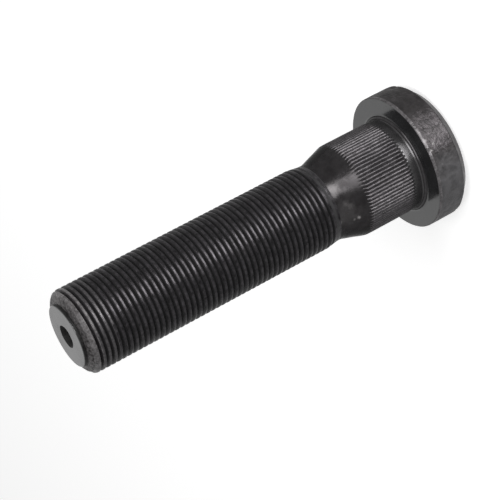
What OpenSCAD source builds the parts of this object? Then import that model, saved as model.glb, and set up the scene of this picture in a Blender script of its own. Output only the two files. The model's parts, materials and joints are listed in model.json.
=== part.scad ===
// Press-in wheel stud, one forged, turned and rolled piece of steel.
// It stands on the back of its head: Z runs along the axis from the head to the threaded tip.

/* [Head] */
// Diameter of the forged disc head
head_d = 36.5; // [32:0.1:44]
// Thickness of the head, from its back to the bearing face
head_h = 10.1; // [7:0.1:14]
// Bevel of 45 degrees round the back of the head, on the radius
back_bevel = 2.4; // [1:0.1:4]
// Radius that softens both ends of the bevel
back_edge_r = 0.6; // [0.2:0.1:1.2]
// Radius of the small edge round the bearing face
face_edge_r = 0.4; // [0.2:0.05:0.8]

/* [Serrated shank] */
// Diameter over the crests of the serrations
serration_d = 25.3; // [24:0.05:28]
// Number of serrations round the shank
serration_count = 80; // [60:1:100]
// Depth of each serration from crest to root
serration_depth = 0.34; // [0.3:0.02:0.5]
// Length of the serrated band, measured on its crests
serration_length = 12.95; // [8:0.05:25]
// Width of the flat on each crest
crest_flat = 0.18; // [0.1:0.02:0.3]
// How far the plain collar lies below the crests, on the radius
collar_drop = 0.16; // [0.05:0.01:0.3]
// Length of the plain collar between the bearing face and the serrations
collar_length = 3.55; // [3:0.05:8]
// Radius of the concave fillet between the collar and the bearing face
fillet_r = 1.3; // [0.6:0.1:2]
// Bevel that ends the serrations at the collar, on the length
serration_bevel = 0.15; // [0.1:0.05:0.6]

/* [Cone and neck] */
// Slope of the cone between the serrations and the neck, from the axis
cone_angle = 17.3; // [12:0.1:30]
// Diameter of the plain neck at the end of the thread
neck_d = 20.96; // [20.2:0.02:21.6]
// Length of the plain neck
neck_length = 1.6; // [1:0.1:5]
// Radius that blends the cone into the crests
shoulder_blend_r = 3; // [1:0.5:6]

/* [Thread] */
// Outer diameter of the thread
thread_d = 22; // [21.8:0.01:22.2]
// Length of the thread, from the neck to the lead-in chamfer
thread_length = 70.6; // [30:0.1:100]
// Length over which the thread runs out towards the neck
runout_length = 3.4; // [2:0.1:6]

/* [Tip] */
// Diameter of the flat tip face
tip_d = 16.1; // [12:0.1:18]
// Height of the tip above the shoulder round it
tip_h = 0.9; // [0.4:0.1:3]
// Diameter of the shoulder round the tip
shoulder_d = 19.2; // [18.4:0.1:20.4]
// Rise of the shoulder from the tip outwards, along the axis
shoulder_rise = 0.3; // [0.1:0.05:0.6]
// Diameter of the mouth of the centre hole
centre_mouth_d = 5.6; // [4:0.1:8]
// Diameter of the drilled pilot below the cone
centre_pilot_d = 2.5; // [1.6:0.1:3.2]
// Depth of the pilot from the tip face
centre_depth = 6; // [5.5:0.5:12]

/* [Hidden] */
$fn = 96;
steel = [0.24, 0.23, 0.24];
// Slope of the bevel round the back of the head
back_bevel_angle = 45;
// Included angle of the cone in a centre hole, of its drill point and of the lead-in chamfer
centre_cone_angle = 60;
drill_point_angle = 118;
lead_angle = 90;
edge_steps = 8;
blend_steps = 3;
// Rise of the rounded root above the sharp one
root_rise = 0.04;
overlap = 0.05;

crest_r = serration_d / 2;
root_r = crest_r - serration_depth;
core_r = root_r + root_rise;
collar_r = crest_r - collar_drop;
neck_r = neck_d / 2;
back_edge_run = back_edge_r * tan(back_bevel_angle / 2);
thread_r = thread_d / 2;
lead_h = (thread_d - shoulder_d) / 2 / tan(lead_angle / 2);
cone_h = (crest_r - neck_r) / tan(cone_angle);

face_z = head_h;
serration_z0 = face_z + collar_length;
cone_z0 = serration_z0 + serration_length;
neck_z0 = cone_z0 + cone_h;
runout_z0 = neck_z0 + neck_length;
lead_z0 = runout_z0 + thread_length;
shoulder_z0 = lead_z0 + lead_h;
tip_z0 = shoulder_z0 + shoulder_rise;
tip_z = tip_z0 + tip_h;

// Points of an arc about [x, z] in the profile plane, from angle a0 to angle a1.
function arc(x, z, r, a0, a1, steps) =
    [for (i = [0:steps]) let (a = a0 + (a1 - a0) * i / steps) [x + r * cos(a), z + r * sin(a)]];

// Height at which the cone has the radius r.
function cone_z(r) = neck_z0 - (r - neck_r) / tan(cone_angle);

// Outline of one serration: root, the two ends of the crest flat, then on to the next root.
function serration_points() =
    let (pitch = 360 / serration_count, half_flat = asin(crest_flat / 2 / crest_r))
    [for (i = [0:serration_count - 1])
        each [
            root_r * [cos((i - 0.5) * pitch), sin((i - 0.5) * pitch)],
            crest_r * [cos(i * pitch - half_flat), sin(i * pitch - half_flat)],
            crest_r * [cos(i * pitch + half_flat), sin(i * pitch + half_flat)]
        ]];

// Half section of the whole stud without its serrations, from the back of the head to the tip.
module body_profile() {
    polygon(concat(
        [[0, 0]],
        arc(head_d / 2 - back_bevel - back_edge_run, back_edge_r, back_edge_r, -90, -back_bevel_angle, edge_steps),
        arc(head_d / 2 - back_edge_r, back_bevel + back_edge_run, back_edge_r, -back_bevel_angle, 0, edge_steps),
        arc(head_d / 2 - face_edge_r, face_z - face_edge_r, face_edge_r, 0, 90, edge_steps),
        arc(collar_r + fillet_r, face_z + fillet_r, fillet_r, 270, 180, edge_steps),
        [
            [collar_r, serration_z0],
            [core_r, serration_z0],
            [core_r, cone_z(core_r)],
            [neck_r, neck_z0],
            [neck_r, runout_z0],
            [thread_r, runout_z0 + runout_length],
            [thread_r, lead_z0],
            [shoulder_d / 2, shoulder_z0],
            [tip_d / 2, tip_z0],
            [tip_d / 2, tip_z],
            [0, tip_z]
        ]
    ));
}

// Half section that bounds the serrations: their bevel at the collar, the crests, a blend and the run-out.
module serration_envelope() {
    inner_r = core_r - serration_depth;
    end_z = cone_z(inner_r) - serration_depth;
    run_angle = atan((crest_r - inner_r) / (end_z - cone_z0));
    blend_z = cone_z0 - shoulder_blend_r * tan(run_angle / 2);
    polygon(concat(
        [
            [0, serration_z0 - serration_bevel],
            [core_r, serration_z0 - serration_bevel],
            [crest_r, serration_z0 + serration_bevel]
        ],
        arc(crest_r - shoulder_blend_r, blend_z, shoulder_blend_r, 0, run_angle, blend_steps),
        [[inner_r, end_z], [0, end_z]]
    ));
}

// Straight serrations, cut off by the bevel at the collar and by the cone at the other end.
module serrations() {
    intersection() {
        translate([0, 0, serration_z0 - serration_bevel])
            linear_extrude(neck_z0 - serration_z0 + serration_bevel)
                polygon(serration_points());
        rotate_extrude()
            serration_envelope();
    }
}

// Centre hole in the tip: a turning centre's cone, a pilot bore and its drill point.
module centre_hole() {
    cone_depth = (centre_mouth_d - centre_pilot_d) / 2 / tan(centre_cone_angle / 2);
    point_h = centre_pilot_d / 2 / tan(drill_point_angle / 2);
    mouth_over = overlap * tan(centre_cone_angle / 2);
    translate([0, 0, tip_z - cone_depth])
        cylinder(h = cone_depth + overlap, d1 = centre_pilot_d, d2 = centre_mouth_d + 2 * mouth_over);
    translate([0, 0, tip_z - centre_depth])
        cylinder(h = centre_depth - cone_depth + overlap, d = centre_pilot_d);
    translate([0, 0, tip_z - centre_depth - point_h])
        cylinder(h = point_h, d1 = 0, d2 = centre_pilot_d);
}

module wheel_stud() {
    color(steel)
        difference() {
            union() {
                rotate_extrude()
                    body_profile();
                serrations();
            }
            centre_hole();
        }
}

wheel_stud();
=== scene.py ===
"""Looks of the wheel stud: one closed skin over the CAD solid, with its thread, serrations and finish.

Lengths are in millimetres until the mesh is made. Angles go round the stud's axis from +X towards +Y.
"""
import json
import math

import bpy
from mathutils import Matrix, Vector, noise


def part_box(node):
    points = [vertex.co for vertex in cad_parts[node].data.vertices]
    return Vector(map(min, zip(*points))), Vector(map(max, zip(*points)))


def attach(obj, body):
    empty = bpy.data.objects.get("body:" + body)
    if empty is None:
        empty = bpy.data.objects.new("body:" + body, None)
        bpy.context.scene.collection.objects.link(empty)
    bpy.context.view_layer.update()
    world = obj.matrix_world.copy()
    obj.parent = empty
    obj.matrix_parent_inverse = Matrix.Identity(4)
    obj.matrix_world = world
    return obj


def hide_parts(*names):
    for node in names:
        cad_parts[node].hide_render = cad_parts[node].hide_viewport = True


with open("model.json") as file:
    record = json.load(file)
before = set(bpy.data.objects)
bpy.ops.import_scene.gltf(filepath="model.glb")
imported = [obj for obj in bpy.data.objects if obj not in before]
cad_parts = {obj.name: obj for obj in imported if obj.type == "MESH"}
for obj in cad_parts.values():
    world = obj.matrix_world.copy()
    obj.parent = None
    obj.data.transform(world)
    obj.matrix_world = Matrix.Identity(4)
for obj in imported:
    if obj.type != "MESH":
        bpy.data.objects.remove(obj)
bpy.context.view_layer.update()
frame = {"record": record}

MM = 0.001
NODE = "wheel_stud"


def mount(name):
    """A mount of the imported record, by its name."""
    return next(m for m in frame["record"]["mounts"] if m["name"] == name)


# Sizes that the frame gives
BOX_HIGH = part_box(NODE)[1]
HEAD_R = BOX_HIGH.y / MM
TIP_Z = BOX_HIGH.z / MM
FACE_Z = mount("head_seat")["pos_m"][2] / MM
THREAD_R = mount("thread")["dims"]["r_mm"]

# Head and collar
BACK_BEVEL = 2.4
BACK_BEVEL_ANGLE = 45
BACK_EDGE_R = 0.6
FACE_EDGE_R = 0.4
FILLET_R = 1.3
COLLAR_R = 12.49
COLLAR_LENGTH = 3.55

# Serrations
TEETH = 80
CREST_R = 12.65
TOOTH_DEPTH = 0.34
SERRATION_LENGTH = 12.95
BEVEL = 0.15

# Cone and neck
CONE_ANGLE = math.radians(17.3)
NECK_R = 10.48
NECK_LENGTH = 1.6

# Thread. Its grooves grow to full depth over part of the run-out, and its lead-in is rounded
PITCH = 1.5
GROOVE_DEPTH = 0.8
START_TURN = 0.5
RUNOUT_LENGTH = 3.4
GROOVE_START = 0.5
GROOVE_FULL = 1.9
LEAD_DEPTH = 2.0
LEAD_POWER = 2.4
LEAD_END = 0.32

# Tip, measured down from its face
SHOULDER_R = 9.6
SHOULDER_DROP = 1.2
STEP_DROP = 0.9
STEP_FILLET_R = 0.2
TIP_R = 8.05
TIP_EDGE_R = 0.12

# Centre hole, with the slopes of its cone and its drill point from the axis
MOUTH_R = 2.9
MOUTH_BEVEL = 0.06
PILOT_R = 1.25
PILOT_DEPTH = 6.0
CENTRE_CONE = math.radians(30)
DRILL_POINT = math.radians(59)

# Heights that follow from the sizes
SERRATION_Z0 = FACE_Z + COLLAR_LENGTH
CONE_Z0 = SERRATION_Z0 + SERRATION_LENGTH
NECK_Z0 = CONE_Z0 + (CREST_R - NECK_R) / math.tan(CONE_ANGLE)
RUNOUT_Z0 = NECK_Z0 + NECK_LENGTH
SHOULDER_Z = TIP_Z - SHOULDER_DROP

# One tooth as part of its pitch and part of its depth, from root to root
TOOTH = ((0, 0), (0.13, 0.48), (0.27, 0.8), (0.4, 0.95), (0.5, 1), (0.6, 0.95), (0.73, 0.8), (0.87, 0.48))

# One turn of thread as part of the pitch and part of the groove's depth, from root to root
TURN = ((0.0, 0.0), (0.27, 0.84), (0.31, 0.955), (0.37, 1.0), (0.63, 1.0), (0.69, 0.955), (0.73, 0.84))

# Points round the stud in each stretch, and rows of points along it
HEAD_COLUMNS = 320
SHAFT_COLUMNS = 160
BEVEL_ROWS = 4
RIM_ROWS = 18
SERRATION_ROWS = 14
CONE_ROWS = 12

# Rings of the flat back: how many times fewer points than the rim, and radius
BACK_RINGS = ((8, 2.0), (4, 5.0), (2, 9.0), (1, 12.5))

# Rings beside the line where the serrations end on the cone, how the edge there is rounded off, and the gap
# between the end of the teeth's roots and the first plain ring of the cone
MEET_OFFSETS = (-0.9, -0.45, -0.2, 0.0, 0.2, 0.45)
MEET_DROP = 0.03
MEET_WIDTH = 0.25
CONE_START_GAP = 0.9

# Distances of extra rings from edges, which keep the shading of the flat stretches flat
FACE_MARGIN = 0.15
COLLAR_MARGIN = 0.4
STEP_MARGIN = 0.02
TIP_MARGIN = 0.12
MOUTH_MARGIN = 0.18
HOLE_MARGIN = 0.5

# Rows of the thread this near to a plain ring join it, and edges sharper than this angle stay sharp
SNAP = 0.02
SHARP_ANGLE = math.radians(52)

# Noise of each unevenness: size of its features, seed and, for pits and nicks, the level they start from
LUMPS = (3.2, 3.1)
SCALE = (1.1, 7.7)
PITS = (0.7, 5.2, 0.1)
TOOTH_NICKS = (0.9, 5.5, 0.1)
BAND_EDGE = (2.5, 8.8)
CONE_WAVES = (3.5, 9.3)
THREAD_NICKS = (0.7, 2.2, 0.3)

# Depth of each unevenness
LUMP_DEPTH = 0.10
SCALE_DEPTH = 0.05
PIT_DEPTH = 0.14
TOOTH_NICK_DEPTH = 0.05
CONE_WAVE_DEPTH = 0.035
THREAD_NICK_DEPTH = 0.03

# The forged roughness sets in above the back and loses a share of itself just below the bearing face
ROUGH_RISE = 1.2
ROUGH_FADE_START = 0.5
ROUGH_FADE_END = 0.1
ROUGH_LOSS = 0.6

# Knocks on the head: angle in degrees, height, width and depth
DENTS = (
    (-18, 3.4, 2.0, 0.4),
    (-95, 9.6, 0.8, 0.2),
    (-86, 9.7, 0.7, 0.15),
    (-99, 6.0, 0.7, 0.15),
    (113, 9.6, 1.2, 0.2),
)

# How much lower the lowest tooth is, the step from tooth to tooth in the noise, and where in it they lie
TOOTH_UNEVEN = 0.055
TOOTH_STEP = 0.71
TOOTH_SEED = (4.2, 1.3)

# Stretch of the serrations that is worn flatter: middle, reach, share of the reach that is wholly worn,
# how ragged its edge is, and how much lower and how much more deeply nicked its crests are
# Its middle is also that of the painted shade on the serrations' flanks and crests
WORN_AND_SHADED_BAND = (2.0, -12.5, 19.5)
WORN_BAND_REACH = 8.0
WORN_BAND_CORE = 0.3
WORN_BAND_RAGGED = 3.0
WORN_BAND_DROP = 0.10
WORN_BAND_NICKS = 0.18

# Wear of the centre hole's mouth: how far out of round, the seed and waviness of its outline, its reach
# outside the mouth, and the depths where it starts and where it is full
MOUTH_WEAR = 0.10
MOUTH_SEED = 2.7
MOUTH_WAVINESS = 1.6
MOUTH_GAIN = 1.6
MOUTH_WEAR_REACH = 0.3
MOUTH_WEAR_START = 2.5
MOUTH_WEAR_FULL = 0.5

# Wear of the thread: how far down its lead-in is worn rough, and over how many turns its crests are duller
WORN_LEAD = 1.3
WORN_TURNS = 4

# Finishes, in the order of the mesh's material slots, then those of the rings from the bearing face to the
# collar, of the points of a tooth and of the rows of a turn
FORGED, EDGE, TURNED, FILLET_HIGHLIGHT, COLLAR, FLANK, CREST, CONE, THREAD, SHADED_GROOVE, LEAD, SHOULDER, SHADED_BORE = range(13)
# On the fillet, rows with the cone's darker finish are painted shade; the two fillet rows between them are a
# brighter copy that paints the top lamp's highlight line, and the last rows take the collar's finish to
# widen its highlight
FRONT_FINISHES = (TURNED,) * 6 + (CONE,) + (FILLET_HIGHLIGHT,) * 2 + (CONE,) + (COLLAR,) * 3
TOOTH_FINISHES = (CREST, FLANK, FLANK, CREST, CREST, FLANK, FLANK, CREST)
# The thread's roots take the dark groove finish as painted shade
TURN_FINISHES = (SHADED_GROOVE, THREAD, THREAD, THREAD, THREAD, THREAD, SHADED_GROOVE)

# Marks on the finishes: middle, size and how much of the mark's colour shows
BARE_STEEL = (0.22, 0.21, 0.21)
# Painted shade that dims the serrations round the middle of their worn stretch, where the key lamp's
# highlight falls
BAND_PAINTED_SHADE = (0.012, 0.011, 0.012)
BAND_SHADE_MARKS = ((WORN_AND_SHADED_BAND, 9.0, 0.5),)
TIP_MARKS = (((8.6, -3.2, 107.0), 5.5, 0.28),)
CONE_SCUFFS_AND_HIGHLIGHT = (
    ((-7.8, -8.4, 30.4), 0.9, 0.8),
    ((-3.2, -10.2, 32.7), 1.5, 0.14),
    ((-4.2, -10.2, 31.8), 1.5, 0.14),
    ((-7.7, -8.0, 31.6), 0.7, 0.35),
    ((-6.8, -8.0, 35.3), 0.8, 0.4),
    # The last two are broad pale marks of painted highlight, which spread the lamp's highlight on the cone
    # towards the neck
    ((1.9, -10.3, 34.3), 3.6, 0.10),
    ((-5.6, -9.2, 33.4), 6.0, 0.10),
)
RIM_MARKS = (
    ((-1.5, -18.2, 9.1), 0.8, 0.6),
    ((-0.2, -18.2, 7.7), 0.8, 0.4),
    ((1.4, -18.2, 9.3), 0.8, 0.45),
)

# A mark is whole within one share of its size and gone beyond the other, with notches of a third share
MARK_CORE = 0.6
MARK_END = 1.2
MARK_NOTCH = 0.4

# Rough patch in the middle of the rim, whose brighter colour is also a painted highlight, and a paler
# stretch on one side, which is painted light: middle, reach, width of the edge and its raggedness
WORN_HIGHLIGHT_PLACE = (3.2, -18.0, 5.5)
WORN_HIGHLIGHT_REACH = 7.8
WORN_HIGHLIGHT_EDGE = 1.0
WORN_HIGHLIGHT_RAGGED = 5.0
PAINTED_LIGHT_PLACE = (-13.5, -12.5, 5.0)
PAINTED_LIGHT_REACH = 10.0
PAINTED_LIGHT_EDGE = 5.0
PAINTED_LIGHT_RAGGED = 6.0

# Sizes of the features of the forged skin, the most that its stray patches show, the grains' share of its
# speckle and the share of its bump that it has where it isn't worn
NOTCH_SIZE = 2.2
PAINTED_LIGHT_NOTCH_SIZE = 3.0
STRAY_SIZE = 5.0
CLOUD_SIZE = 2.5
GRAIN_SIZE = 0.75
FLAKE_SIZE = 2.0
STRAY_SHARE = 0.6
GRAIN_SHARE = 0.6
EVEN_BUMP = 0.5

# Dark and light shade of each stretch of the forged skin, and its roughness where even and where worn. The
# paler stretch is painted light, and the worn colour is partly a painted highlight
FORGED_EVEN = ((0.013, 0.0118, 0.0120), (0.028, 0.0258, 0.0265))
FORGED_PAINTED_LIGHT = ((0.046, 0.0450, 0.0468), (0.084, 0.0820, 0.0850))
FORGED_WORN_AND_LIT = ((0.016, 0.0147, 0.0152), (0.056, 0.0512, 0.0538))
FORGED_ROUGHNESS = (0.50, 0.42)
FORGED_BUMP = 0.22
FORGED_METAL = 0.7
FORGED_GRAZING = 0.6

# Stretch of each noise that goes from dark to light, and the patches' share of a steel's tone
PATCH_SPAN = (0.35, 0.65)
SPECKLE_SPAN = (0.4, 0.7)
STRAY_SPAN = (0.54, 0.68)
SCALE_SPAN = (0.38, 0.64)
GRIT_SPAN = (0.15, 0.85)
PATCH_SHARE = 0.55

# Uneven gloss: size beside the patches', and how much smoother and rougher than the finish's own value
GLOSS_SIZE = 1.3
GLOSS_SWING = (-0.06, 0.08)

# Sockets A and B of a Mix node, for numbers and for colours
MIX_NUMBERS = (2, 3)
MIX_COLOURS = (6, 7)

# Camera, fitted to the photograph's outline
CAMERA_PLACE = (-2.225, -406.113, 220.770)
CAMERA_ELEVATION = math.radians(21.98)
CAMERA_ROLL = math.radians(-117.95)
SENSOR = 36.0
LENS = 127.87

# Stage, in metres, and its light
FLOOR_HALF = 6.0
FLOOR_TONE = 0.8
FLOOR_GLOW = 0.65
WORLD_FILL = 0.15


def ease(value, start, end):
    """0 before start, 1 after end and a smooth step between them."""
    t = min(1.0, max(0.0, (value - start) / (end - start)))
    return t * t * (3 - 2 * t)


def spot(angle, r, z):
    """The point (x, y, z) at an angle, radius and height."""
    return r * math.cos(angle), r * math.sin(angle), z


def turn(count):
    """Angles of that many points round the stud."""
    return [math.tau * i / count for i in range(count)]


def circle(count, r, z):
    """A plain ring, as points (angle, radius, height)."""
    return [(angle, r, z) for angle in turn(count)]


def arc(middle_r, middle_z, radius, start, end, steps):
    """Points (r, z) of an arc from one angle to the other, in degrees."""
    angles = [math.radians(start + (end - start) * i / steps) for i in range(steps + 1)]
    return [(middle_r + radius * math.cos(a), middle_z + radius * math.sin(a)) for a in angles]


def rows_between(start, end, steps):
    """The points (r, z) that cut a straight line into equal steps, without its ends."""
    return [tuple(a + (b - a) * i / steps for a, b in zip(start, end)) for i in range(1, steps)]


def clumps(point, size, seed):
    """Smooth noise from -1 to 1 with lumps of about the given size."""
    x, y, z = point
    return noise.noise(Vector((x / size + seed, y / size - seed, z / size + 2 * seed)))


def lumps(point, size, seed):
    """Noise from 0 to 1 over the whole skin."""
    return 0.5 + 0.5 * clumps(point, size, seed)


def pits(point, size, seed, start):
    """Noise that leaves most of the skin at 0 and rises in spots."""
    return max(0.0, clumps(point, size, seed) - start)


class Skin:
    """Rings of points along the axis, stitched into one closed surface from the back of the head up."""

    def __init__(self):
        self.points = []
        self.faces = []
        self.finishes = []
        self.top = []

    def ring(self, polar):
        """Adds points given as (angle, radius, height) and returns their numbers."""
        start = len(self.points)
        self.points += [spot(*place) for place in polar]
        return list(range(start, len(self.points)))

    def face(self, corners, finish):
        """Adds a face with its finish."""
        self.faces.append(tuple(corners))
        self.finishes.append(finish)

    def start(self, polar, z, finish):
        """Starts the skin with a ring and a fan from it to a point on the axis."""
        self.top = self.ring(polar)
        self.close(z, finish, at_start=True)

    def grow(self, polar, *finishes):
        """Adds a ring and stitches it to the one before, with finishes that repeat round it."""
        ring = self.ring(polar)
        self.join(self.top, ring, *finishes)
        self.top = ring

    def join(self, low, high, *finishes):
        """Stitches two rings with finishes that repeat round them.

        One ring may have some whole number of times as many points as the other.
        """
        flip = len(high) > len(low)
        fine, coarse = (high, low) if flip else (low, high)
        step = len(fine) // len(coarse)
        half = step // 2
        for i, near in enumerate(coarse):
            far = coarse[(i + 1) % len(coarse)]
            run = [fine[(i * step + k) % len(fine)] for k in range(step + 1)]
            if step == 1:
                faces = [(run[0], run[1], far, near)]
            else:
                faces = [(run[k], run[k + 1], near if k < half else far) for k in range(step)]
                faces.append((run[half], far, near))
            for corners in faces:
                self.face(reversed(corners) if flip else corners, finishes[i % len(finishes)])

    def close(self, z, finish, at_start=False):
        """Closes the top ring with a fan round a point on the axis."""
        self.points.append((0.0, 0.0, z))
        middle = len(self.points) - 1
        for i, a in enumerate(self.top):
            b = self.top[(i + 1) % len(self.top)]
            self.face((middle, b, a) if at_start else (a, b, middle), finish)

    def helix(self, end, z0, z1, radius, finish):
        """Fills the stretch from z0 to the ring at z1, end, with rows that follow the thread.

        radius(angle, height) places the points. finish(row, height) picks the finish by the row of the turn.
        """
        start = self.top
        angles = turn(len(start))
        steps = len(TURN)
        turns = math.ceil((z1 - z0) / PITCH) + 2
        base = (math.floor(z0 / PITCH - START_TURN) - 1 + START_TURN) * PITCH

        def number(row, column):
            z = base + PITCH * (row // steps + TURN[row % steps][0] + column / len(angles))
            if z < z0 + SNAP:
                return start[column]
            if z > z1 - SNAP:
                return end[column]
            return self.ring([(angles[column], radius(angles[column], z), z)])[0]

        rows = steps * turns
        grid = [[number(row, column) for column in range(len(angles))] for row in range(rows + 1 + steps)]
        for row in range(rows):
            for column, (a, d) in enumerate(zip(grid[row], grid[row + 1])):
                if column + 1 < len(angles):
                    b, c = grid[row][column + 1], grid[row + 1][column + 1]
                else:
                    b, c = grid[row + steps][0], grid[row + steps + 1][0]
                corners = list(dict.fromkeys((a, b, c, d)))
                if len(corners) > 2:
                    self.face(corners, finish(row % steps, self.points[a][2]))
        self.top = end

    def build(self, name, materials):
        """Makes the Blender object, in metres."""
        mesh = bpy.data.meshes.new(name)
        mesh.from_pydata([(x * MM, y * MM, z * MM) for x, y, z in self.points], [], self.faces)
        for material in materials:
            mesh.materials.append(material)
        mesh.polygons.foreach_set("material_index", self.finishes)
        mesh.shade_smooth()
        mesh.set_sharp_from_angle(angle=SHARP_ANGLE)
        mesh.validate()
        mesh.update()
        piece = bpy.data.objects.new(name, mesh)
        bpy.context.scene.collection.objects.link(piece)
        return piece


def dents(angle, z):
    """Depth of the knocks on the head at an angle and height."""
    depth = 0.0
    for place, height, width, deepest in DENTS:
        around = HEAD_R * math.remainder(angle - math.radians(place), math.tau)
        depth += deepest * math.exp(-(around ** 2 + (z - height) ** 2) / (width / 2) ** 2)
    return depth


def forged(angle, r, z):
    """How deep the lumps, scale, pits and knocks of the forging go at a point of its smooth outline."""
    point = spot(angle, r, z)
    lump = LUMP_DEPTH * lumps(point, *LUMPS)
    scale = SCALE_DEPTH * lumps(point, *SCALE)
    pit = PIT_DEPTH * pits(point, *PITS)
    return lump + scale + pit + dents(angle, z)


def rim_outline():
    """Smooth outline (r, z) of the forged edge, from the flat back to the bearing face."""
    run = BACK_EDGE_R * math.tan(math.radians(BACK_BEVEL_ANGLE / 2))
    low = arc(HEAD_R - BACK_BEVEL - run, BACK_EDGE_R, BACK_EDGE_R, -90, -BACK_BEVEL_ANGLE, steps=3)
    high = arc(HEAD_R - BACK_EDGE_R, BACK_BEVEL + run, BACK_EDGE_R, -BACK_BEVEL_ANGLE, 0, steps=4)
    front = arc(HEAD_R - FACE_EDGE_R, FACE_Z - FACE_EDGE_R, FACE_EDGE_R, 0, 90, steps=5)
    bevel = rows_between(low[-1], high[0], BEVEL_ROWS)
    rim = rows_between(high[-1], front[0], RIM_ROWS)
    return low + bevel + high + rim + front


def add_back(skin):
    """Flat back of the head, from the axis outwards."""
    (share, r), *wider = BACK_RINGS
    skin.start(circle(HEAD_COLUMNS // share, r, 0.0), 0.0, FORGED)
    for share, r in wider:
        skin.grow(circle(HEAD_COLUMNS // share, r, 0.0), FORGED)


def add_rim(skin):
    """Bevel and forged rim of the head, up to the edge of the bearing face."""
    for r, z in rim_outline()[:-1]:
        fade = ease(z, FACE_Z - ROUGH_FADE_START, FACE_Z - ROUGH_FADE_END)
        rough = ease(z, 0.0, ROUGH_RISE) * (1 - ROUGH_LOSS * fade)
        finish = FORGED if BACK_BEVEL < z < FACE_Z - FACE_EDGE_R else EDGE
        skin.grow([(a, r - forged(a, r, z) * rough, z) for a in turn(HEAD_COLUMNS)], finish)


def add_face(skin):
    """Bearing face, fillet and the plain part of the collar."""
    outer = rim_outline()[-1]
    fillet = arc(COLLAR_R + FILLET_R, FACE_Z + FILLET_R, FILLET_R, 270, 180, steps=8)
    face = [outer, (outer[0] - FACE_MARGIN, FACE_Z), (fillet[0][0] + FACE_MARGIN, FACE_Z)]
    collar = [(COLLAR_R, SERRATION_Z0 - BEVEL - COLLAR_MARGIN)]
    for (r, z), finish in zip(face + fillet + collar, FRONT_FINISHES):
        skin.grow(circle(HEAD_COLUMNS, r, z), finish)


def cone_z(r):
    """Height at which the cone has the radius r."""
    return NECK_Z0 - (r - NECK_R) / math.tan(CONE_ANGLE)


def cone_r(z):
    """Radius of the cone at the height z."""
    return NECK_R + (NECK_Z0 - z) * math.tan(CONE_ANGLE)


def tooth_columns():
    """(angle, radius) of each point round the serrated band. The crests differ a little in height."""
    root = CREST_R - TOOTH_DEPTH
    columns = []
    for tooth in range(TEETH):
        lowered = TOOTH_UNEVEN * (0.5 + 0.5 * noise.noise(Vector((tooth * TOOTH_STEP, *TOOTH_SEED))))
        height = CREST_R - lowered - root
        columns += [(math.tau * (tooth + place) / TEETH, root + height * rise) for place, rise in TOOTH]
    return columns


def worn_tooth(angle, r, z):
    """Radius of a serration with nicks along its crest. It is lower and more nicked where it is worn."""
    point = spot(angle, CREST_R, z)
    reach = math.dist(point, WORN_AND_SHADED_BAND) - WORN_BAND_RAGGED * clumps(point, *BAND_EDGE)
    wear = ease(reach, WORN_BAND_REACH, WORN_BAND_CORE * WORN_BAND_REACH)
    nick = (TOOTH_NICK_DEPTH + WORN_BAND_NICKS * wear) * pits(point, *TOOTH_NICKS)
    share = max(0.0, (r - CREST_R + TOOTH_DEPTH) / TOOTH_DEPTH)
    return r - (WORN_BAND_DROP * wear + nick) * share


def add_serrations(skin):
    """Collar bevel, serrated band and its end on the cone."""
    columns = tooth_columns()
    # The ends of the teeth at the collar take the dark groove finish as painted shade
    for share, finish in ((0.0, COLLAR), (0.5, SHADED_GROOVE), (1.0, SHADED_GROOVE)):
        z = SERRATION_Z0 + (2 * share - 1) * BEVEL
        skin.grow([(a, COLLAR_R + (r - COLLAR_R) * share, z) for a, r in columns], finish)
    for row in range(1, SERRATION_ROWS):
        ring = []
        for a, r in columns:
            length = cone_z(r) + MEET_OFFSETS[0] - SERRATION_Z0 - BEVEL
            z = SERRATION_Z0 + BEVEL + length * row / SERRATION_ROWS
            ring.append((a, worn_tooth(a, r, z), z))
        skin.grow(ring, *TOOTH_FINISHES)
    for offset in MEET_OFFSETS:
        drop = MEET_DROP * math.exp(-(offset / MEET_WIDTH) ** 2)
        ring = []
        for a, r in columns:
            z = cone_z(r) + offset
            ring.append((a, min(worn_tooth(a, r, z), cone_r(z)) - drop, z))
        skin.grow(ring, *(TOOTH_FINISHES if offset <= 0 else (CONE,)))


def add_cone(skin):
    """Cone with its slow waves, and the neck up to the start of the thread."""
    start = cone_z(CREST_R - TOOTH_DEPTH) + CONE_START_GAP
    for row in range(CONE_ROWS + 1):
        z = start + (NECK_Z0 - start) * row / CONE_ROWS
        depth = CONE_WAVE_DEPTH if 0 < row < CONE_ROWS else 0.0
        waves = [(a, depth * clumps(spot(a, NECK_R, z), *CONE_WAVES)) for a in turn(SHAFT_COLUMNS)]
        skin.grow([(a, cone_r(z) + wave, z) for a, wave in waves], CONE)
    skin.grow(circle(SHAFT_COLUMNS, NECK_R, RUNOUT_Z0), CONE)


def lead_in(z):
    """Outer radius that the rounded lead-in leaves at the height z."""
    t = min(1.0, max(0.0, (SHOULDER_Z - z) / LEAD_DEPTH))
    return SHOULDER_R + (THREAD_R - SHOULDER_R) * (1 - (1 - t) ** LEAD_POWER)


def turn_rise(place):
    """Height of the thread's profile at part of a turn, from 0 in the root to 1 on the crest."""
    stops = TURN + ((1.0, 0.0),)
    for (p0, h0), (p1, h1) in zip(stops, stops[1:]):
        if place <= p1:
            return h0 + (h1 - h0) * (place - p0) / (p1 - p0)
    return 0.0


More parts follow.
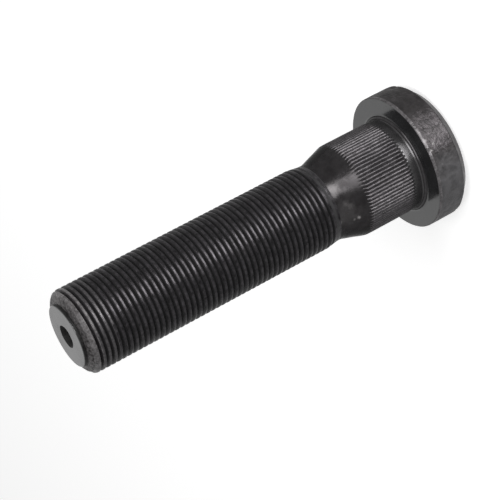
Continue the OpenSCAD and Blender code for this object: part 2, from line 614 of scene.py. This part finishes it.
def thread_r(angle, z):
    """Radius of the threaded shaft at an angle and height."""
    rise = turn_rise((z / PITCH - START_TURN - angle / math.tau) % 1.0)
    cut = ease(z, RUNOUT_Z0 + GROOVE_START, RUNOUT_Z0 + GROOVE_FULL)
    taper = min(1.0, max(0.0, (z - RUNOUT_Z0) / RUNOUT_LENGTH))
    run = NECK_R + (THREAD_R - NECK_R) * taper
    nick = THREAD_NICK_DEPTH * pits(spot(angle, THREAD_R, z), *THREAD_NICKS) * rise
    return min(run, lead_in(z), THREAD_R - GROOVE_DEPTH * (1 - rise) * cut) - nick * cut


def thread_finish(row, z):
    """Finish of one row of the thread.

    The lead-in and the crest after it are worn rough, and the next turns have duller crests.
    """
    finish = TURN_FINISHES[row]
    depth = SHOULDER_Z - z
    if depth < WORN_LEAD + PITCH * (0 if finish == SHADED_GROOVE else 1):
        return LEAD
    if depth < WORN_LEAD + PITCH * (1 if finish == SHADED_GROOVE else WORN_TURNS):
        return CREST
    return finish


def add_thread(skin):
    """The turns of the thread, from the neck to the end of the lead-in."""
    end = SHOULDER_Z - LEAD_END
    ring = skin.ring(circle(SHAFT_COLUMNS, lead_in(end), end))
    skin.helix(ring, RUNOUT_Z0, end, thread_r, thread_finish)


def tip_stations():
    """(radius, height, finish) of each ring of the tip. The step's wall has the hole's dark finish, which is
    painted shade.
    """
    foot_z = TIP_Z - STEP_DROP + STEP_FILLET_R
    root = arc(TIP_R + STEP_FILLET_R, foot_z, STEP_FILLET_R, 270, 180, steps=4)
    edge = arc(TIP_R - TIP_EDGE_R, TIP_Z - TIP_EDGE_R, TIP_EDGE_R, 0, 90, steps=3)
    mouth_z = TIP_Z - MOUTH_BEVEL
    return [
        (SHOULDER_R, SHOULDER_Z, SHOULDER),
        (*root[0], SHOULDER),
        *[(r, z, SHADED_BORE) for r, z in root[1:]],
        (TIP_R, TIP_Z - TIP_EDGE_R - STEP_MARGIN, SHADED_BORE),
        *[(r, z, TURNED) for r, z in edge],
        (edge[-1][0] - TIP_MARGIN, TIP_Z, TURNED),
        (MOUTH_R + MOUTH_MARGIN, TIP_Z, TURNED),
        (MOUTH_R + MOUTH_BEVEL, TIP_Z, TURNED),
        (MOUTH_R, mouth_z, SHADED_BORE),
        (MOUTH_R - HOLE_MARGIN, mouth_z - HOLE_MARGIN / math.tan(CENTRE_CONE), SHADED_BORE),
        (PILOT_R, TIP_Z - (MOUTH_R - PILOT_R) / math.tan(CENTRE_CONE), SHADED_BORE),
        (PILOT_R, TIP_Z - PILOT_DEPTH, SHADED_BORE),
    ]


def worn_mouth(angle):
    """How far the mouth of the centre hole stands out of round at an angle, from about -1 to 1."""
    return MOUTH_GAIN * noise.noise(Vector(spot(angle, MOUTH_WAVINESS, MOUTH_SEED)))


def add_tip(skin):
    """Shoulder, step, tip face and the centre hole with its pilot bore and drill point."""
    for r, z, finish in tip_stations():
        outside = ease(r, MOUTH_R + MOUTH_BEVEL, MOUTH_R + MOUTH_WEAR_REACH)
        wear = MOUTH_WEAR * (1 - outside) * ease(z, TIP_Z - MOUTH_WEAR_START, TIP_Z - MOUTH_WEAR_FULL)
        skin.grow([(a, r + wear * worn_mouth(a), z) for a in turn(SHAFT_COLUMNS)], finish)
    skin.close(TIP_Z - PILOT_DEPTH - PILOT_R / math.tan(DRILL_POINT), SHADED_BORE)


class Nodes:
    """Short names for the nodes of one material."""

    def __init__(self, name):
        self.material = bpy.data.materials.new(name)
        self.material.use_nodes = True
        self.tree = self.material.node_tree
        self.shader = self.tree.nodes["Principled BSDF"]
        place = self.tree.nodes.new("ShaderNodeTexCoord")
        scale = self.tree.nodes.new("ShaderNodeVectorMath")
        scale.operation = "SCALE"
        scale.inputs["Scale"].default_value = 1 / MM
        self.tree.links.new(place.outputs["Object"], scale.inputs[0])
        self.mm = scale.outputs[0]

    def noise(self, size, detail=4.0, roughness=0.6):
        """Noise with features of about the given size in millimetres."""
        node = self.tree.nodes.new("ShaderNodeTexNoise")
        node.inputs["Scale"].default_value = 1 / size
        node.inputs["Detail"].default_value = detail
        node.inputs["Roughness"].default_value = roughness
        self.tree.links.new(self.mm, node.inputs["Vector"])
        return node.outputs["Fac"]

    def span(self, value, from_low, from_high, to_low=0.0, to_high=1.0):
        """Maps a value from one range to another, clamped."""
        node = self.tree.nodes.new("ShaderNodeMapRange")
        ends = {"From Min": from_low, "From Max": from_high, "To Min": to_low, "To Max": to_high}
        for key, number in ends.items():
            node.inputs[key].default_value = number
        self.tree.links.new(value, node.inputs["Value"])
        return node.outputs["Result"]

    def math(self, operation, a, b):
        """One sum of two values, each an output or a number."""
        node = self.tree.nodes.new("ShaderNodeMath")
        node.operation = operation
        for socket, value in zip(node.inputs, (a, b)):
            if isinstance(value, (int, float)):
                socket.default_value = value
            else:
                self.tree.links.new(value, socket)
        return node.outputs[0]

    def mix(self, factor, a, b):
        """Blends two colours, each an output or a colour."""
        node = self.tree.nodes.new("ShaderNodeMix")
        node.data_type = "RGBA"
        self.tree.links.new(factor, node.inputs["Factor"])
        for number, value in zip(MIX_COLOURS, (a, b)):
            if isinstance(value, tuple):
                node.inputs[number].default_value = (*value, 1.0)
            else:
                self.tree.links.new(value, node.inputs[number])
        return node.outputs[2]

    def near(self, place, core, end, ragged, noise_size, strength=1.0, **noise_kind):
        """The strength within the core round a place, 0 beyond the end and a ragged edge between them."""
        distance = self.tree.nodes.new("ShaderNodeVectorMath")
        distance.operation = "DISTANCE"
        distance.inputs[1].default_value = place
        self.tree.links.new(self.mm, distance.inputs[0])
        notches = self.math("MULTIPLY", self.noise(noise_size, **noise_kind), ragged)
        reach = self.math("ADD", distance.outputs["Value"], notches)
        return self.span(reach, end, core, 0.0, strength)

    def marked(self, colour, marks, shade=BARE_STEEL):
        """Colour with another one, by default bare steel, showing at each mark."""
        for place, size, strength in marks:
            shown = self.near(place, MARK_CORE * size, MARK_END * size, size, MARK_NOTCH * size, strength)
            colour = self.mix(shown, colour, shade)
        return colour

    def bump(self, height, depth):
        """Bump of the given depth in millimetres."""
        node = self.tree.nodes.new("ShaderNodeBump")
        node.inputs["Distance"].default_value = depth * MM
        self.tree.links.new(height, node.inputs["Height"])
        return node.outputs[0]

    def link(self, output, socket):
        """Drives one of the shader's sockets."""
        self.tree.links.new(output, self.shader.inputs[socket])

    def metallic(self, metal, edge):
        """Sets the share that shines like metal and how strongly that share shines at a grazing angle."""
        self.shader.inputs["Metallic"].default_value = metal
        self.shader.inputs["Specular Tint"].default_value = (edge, edge, edge, 1)


def steel(name, dark, light, roughness, patch, grain, depth, metal=0.0, edge=1.0, specular=0.5, dull=None,
          marks=(), shade=BARE_STEEL):
    """Dark finished steel: patches of two shades, a fine grain, uneven gloss and marks. Some marks are
    painted shade and some painted highlight.

    patch and grain are sizes in millimetres, and depth is that of the grain. metal and edge are those of
    Nodes.metallic. dull is how little the dark grains shine where the finish is gritty.
    """
    n = Nodes(name)
    patches = n.span(n.noise(patch), *PATCH_SPAN)
    speckle = n.span(n.noise(grain, detail=3.0), *SPECKLE_SPAN)
    patch_part = n.math("MULTIPLY", patches, PATCH_SHARE)
    tone = n.math("ADD", patch_part, n.math("MULTIPLY", speckle, 1 - PATCH_SHARE))
    gloss = [roughness + swing for swing in GLOSS_SWING]
    n.link(n.marked(n.mix(tone, dark, light), marks, shade), "Base Color")
    n.link(n.span(n.noise(GLOSS_SIZE * patch, detail=5.0), *PATCH_SPAN, *gloss), "Roughness")
    n.link(n.bump(n.noise(grain, detail=3.0), depth), "Normal")
    n.metallic(metal, edge)
    if dull is None:
        n.shader.inputs["Specular IOR Level"].default_value = specular
    else:
        n.link(n.span(tone, *GRIT_SPAN, dull, specular), "Specular IOR Level")
    return n.material


def forged_steel():
    """Skin of the forging: dark and fairly even, paler on one side as painted light, and brighter where its
    scale is rough, which in the middle of the rim is also a painted highlight.
    """
    n = Nodes("forged_skin")
    worn_highlight_end = WORN_HIGHLIGHT_REACH + WORN_HIGHLIGHT_EDGE
    # Worn patch where the key lamp's highlight falls on the rim; its brighter colour is partly a painted
    # highlight
    patch = n.near(WORN_HIGHLIGHT_PLACE, WORN_HIGHLIGHT_REACH, worn_highlight_end, WORN_HIGHLIGHT_RAGGED, NOTCH_SIZE, detail=5.0, roughness=0.7)
    stray = n.span(n.noise(STRAY_SIZE, detail=3.0), *STRAY_SPAN, 0.0, STRAY_SHARE)
    worn_and_painted_light = n.math("MAXIMUM", patch, stray)
    grains = n.noise(GRAIN_SIZE, detail=3.0, roughness=0.65)
    flakes = n.math("MULTIPLY", n.noise(FLAKE_SIZE, detail=2.0), 1 - GRAIN_SHARE)
    scale = n.math("ADD", n.math("MULTIPLY", grains, GRAIN_SHARE), flakes)
    cloud = n.span(n.noise(CLOUD_SIZE), *PATCH_SPAN)
    # Painted light that makes one side of the rim paler
    painted_light = n.near(PAINTED_LIGHT_PLACE, PAINTED_LIGHT_REACH, PAINTED_LIGHT_REACH + PAINTED_LIGHT_EDGE, PAINTED_LIGHT_RAGGED, PAINTED_LIGHT_NOTCH_SIZE)
    even = n.mix(painted_light, n.mix(cloud, *FORGED_EVEN), n.mix(cloud, *FORGED_PAINTED_LIGHT))
    rubbed_and_lit = n.mix(n.span(scale, *SCALE_SPAN), *FORGED_WORN_AND_LIT)
    n.link(n.marked(n.mix(worn_and_painted_light, even, rubbed_and_lit), RIM_MARKS), "Base Color")
    n.link(n.span(worn_and_painted_light, 0.0, 1.0, *FORGED_ROUGHNESS), "Roughness")
    height = n.math("MULTIPLY", grains, n.span(worn_and_painted_light, 0.0, 1.0, EVEN_BUMP, 1.0))
    n.link(n.bump(height, FORGED_BUMP), "Normal")
    n.metallic(FORGED_METAL, FORGED_GRAZING)
    return n.material


def materials():
    """The finishes, in the order of the mesh's slots."""
    shine = {"metal": 0.8, "edge": 0.6}
    # The serrations' finishes carry painted shade round the middle of their worn stretch
    worn_and_painted_light = {"marks": BAND_SHADE_MARKS, "shade": BAND_PAINTED_SHADE}
    return [
        forged_steel(),
        # Bevel and edges of the head, where the scale is rubbed pale
        steel("edge_skin", dark=(0.028, 0.0265, 0.0272), light=(0.135, 0.128, 0.132), roughness=0.36,
              patch=1.6, grain=0.5, depth=0.10, **shine),
        # Bearing face and tip face, turned smooth
        steel("turned_face", dark=(0.008, 0.0083, 0.0088), light=(0.020, 0.0205, 0.0215), roughness=0.19,
              patch=4.0, grain=0.3, depth=0.002, specular=0.6),
        # Bright middle of the fillet between the bearing face and the collar, a brighter copy of its finish
        # that is painted highlight
        steel("fillet_highlight_skin", dark=(0.024, 0.023, 0.024), light=(0.044, 0.042, 0.044), roughness=0.17,
              patch=2.0, grain=0.8, depth=0.003, **shine),
        # Plain collar
        steel("collar_skin", dark=(0.045, 0.044, 0.045), light=(0.070, 0.068, 0.070), roughness=0.22,
              patch=3.0, grain=0.9, depth=0.004, **shine),
        # Flanks of the serrations, with painted shade round the middle of their worn stretch
        steel("flank_skin", dark=(0.017, 0.0158, 0.0167), light=(0.056, 0.0519, 0.055), roughness=0.28,
              patch=1.6, grain=0.6, depth=0.070, **shine, **worn_and_painted_light),
        # Crests of the serrations, with the same painted shade, and of the first worn turns of the thread
        steel("crest_skin", dark=(0.026, 0.0247, 0.026), light=(0.066, 0.0625, 0.065), roughness=0.40,
              patch=1.0, grain=0.5, depth=0.050, **shine, **worn_and_painted_light),
        # Cone and neck, with the places where the finish is rubbed through and two broad pale marks of
        # painted highlight
        steel("cone_skin", dark=(0.013, 0.012, 0.0125), light=(0.027, 0.0254, 0.0263), roughness=0.25,
              patch=2.6, grain=1.8, depth=0.014, metal=0.8, edge=0.35, marks=CONE_SCUFFS_AND_HIGHLIGHT),
        # Crests and flanks of the thread
        steel("thread_skin", dark=(0.006, 0.0055, 0.0061), light=(0.043, 0.0400, 0.0435), roughness=0.28,
              patch=2.2, grain=0.9, depth=0.022, **shine),
        # Roots of the thread, and the ends of the serrations at the collar, kept dark as painted shade
        steel("shaded_groove_skin", dark=(0.007, 0.0068, 0.0072), light=(0.014, 0.0135, 0.0142), roughness=0.55,
              patch=2.4, grain=0.3, depth=0.01, specular=0.2),
        # Worn and gritty lead-in
        steel("lead_skin", dark=(0.022, 0.0205, 0.0210), light=(0.105, 0.099, 0.101), roughness=0.42,
              patch=1.1, grain=0.6, depth=0.20, specular=0.42, dull=0.16, marks=TIP_MARKS),
        # Gritty shoulder round the tip
        steel("shoulder_skin", dark=(0.008, 0.0073, 0.0075), light=(0.088, 0.0825, 0.0835), roughness=0.48,
              patch=0.9, grain=0.6, depth=0.25, specular=0.40, dull=0.06, marks=TIP_MARKS),
        # Step's wall and the centre hole, kept dark as painted shade
        steel("shaded_bore_skin", dark=(0.001, 0.001, 0.001), light=(0.018, 0.0175, 0.0175), roughness=0.50,
              patch=1.8, grain=0.6, depth=0.05, specular=0.1),
    ]


def add_stud():
    """The whole stud, from the back of the head to the bottom of the centre hole."""
    skin = Skin()
    add_back(skin)
    add_rim(skin)
    add_face(skin)
    add_serrations(skin)
    add_cone(skin)
    add_thread(skin)
    add_tip(skin)
    return skin.build("stud", materials())


def seen_ray(tree):
    """1 for rays that see the background directly, in a reflection or through glass."""
    path = tree.nodes.new("ShaderNodeLightPath")
    total = path.outputs["Is Camera Ray"]
    for name in ("Is Glossy Ray", "Is Transmission Ray"):
        add = tree.nodes.new("ShaderNodeMath")
        add.operation = "MAXIMUM"
        tree.links.new(total, add.inputs[0])
        tree.links.new(path.outputs[name], add.inputs[1])
        total = add.outputs[0]
    return total


def floor_material():
    """Pale floor. Seen rays add a glow that brings the lit floor to white and keeps the shadow."""
    material = bpy.data.materials.new("floor")
    material.use_nodes = True
    tree = material.node_tree
    tree.nodes.clear()
    out = tree.nodes.new("ShaderNodeOutputMaterial")
    paint = tree.nodes.new("ShaderNodeBsdfDiffuse")
    paint.inputs["Color"].default_value = (FLOOR_TONE, FLOOR_TONE, FLOOR_TONE, 1)
    glow = tree.nodes.new("ShaderNodeEmission")
    total = tree.nodes.new("ShaderNodeAddShader")
    lift = tree.nodes.new("ShaderNodeMath")
    lift.operation = "MULTIPLY"
    lift.inputs[1].default_value = FLOOR_GLOW
    tree.links.new(seen_ray(tree), lift.inputs[0])
    tree.links.new(lift.outputs[0], glow.inputs["Strength"])
    tree.links.new(paint.outputs[0], total.inputs[0])
    tree.links.new(glow.outputs[0], total.inputs[1])
    tree.links.new(total.outputs[0], out.inputs["Surface"])
    return material


def add_floor():
    """The pale floor that the stud stands on."""
    mesh = bpy.data.meshes.new("floor")
    s = FLOOR_HALF
    mesh.from_pydata([(-s, -s, 0), (s, -s, 0), (s, s, 0), (-s, s, 0)], [], [(0, 1, 2, 3)])
    mesh.materials.append(floor_material())
    floor = bpy.data.objects.new("floor", mesh)
    floor.visible_shadow = False
    floor.visible_glossy = False
    bpy.context.scene.collection.objects.link(floor)


def add_world():
    """White where rays see it, and a plain soft fill for the rest."""
    world = bpy.data.worlds.new("studio")
    bpy.context.scene.world = world
    world.use_nodes = True
    tree = world.node_tree
    level = tree.nodes.new("ShaderNodeMix")
    for number, value in zip(MIX_NUMBERS, (WORLD_FILL, 1.0)):
        level.inputs[number].default_value = value
    tree.links.new(seen_ray(tree), level.inputs[0])
    tree.links.new(level.outputs[0], tree.nodes["Background"].inputs["Strength"])
    tree.nodes["Background"].inputs["Color"].default_value = (1, 1, 1, 1)


def add_lamp(name, azimuth, elevation, distance, size, radiance):
    """A soft lamp aimed at the stud's middle, in metres. Azimuth 0 is the camera's side, +90 is +X."""
    a, e = math.radians(azimuth), math.radians(elevation)
    back = Vector((math.sin(a) * math.cos(e), -math.cos(a) * math.cos(e), math.sin(e)))
    light = bpy.data.lights.new(name, "AREA")
    light.shape = "RECTANGLE"
    light.size, light.size_y = size
    light.energy = radiance * math.pi * size[0] * size[1]
    lamp = bpy.data.objects.new(name, light)
    lamp.visible_camera = False
    place = Vector((0, 0, TIP_Z * MM / 2)) + back * distance
    aim = back.to_track_quat("Z", "Y").to_matrix().to_4x4()
    lamp.matrix_world = Matrix.Translation(place) @ aim
    bpy.context.scene.collection.objects.link(lamp)


def add_camera():
    """The photograph's camera, a little above the stud and rolled so that the tip points down left."""
    data = bpy.data.cameras.new("camera")
    data.sensor_width = SENSOR
    data.lens = LENS
    camera = bpy.data.objects.new("camera", data)
    tilt = Matrix.Rotation(math.pi / 2 - CAMERA_ELEVATION, 4, "X")
    roll = Matrix.Rotation(CAMERA_ROLL, 4, "Z")
    camera.matrix_world = Matrix.Translation(Vector(CAMERA_PLACE) * MM) @ tilt @ roll
    bpy.context.scene.collection.objects.link(camera)
    bpy.context.scene.camera = camera


bpy.context.scene.view_settings.view_transform = "Standard"
add_camera()
add_floor()
add_world()
add_lamp("key", azimuth=12, elevation=-12, distance=0.9, size=(0.50, 0.92), radiance=11.5)
add_lamp("top", azimuth=26, elevation=62, distance=1.2, size=(1.1, 0.36), radiance=6.0)

stud = add_stud()
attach(stud, "root")
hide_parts(NODE)
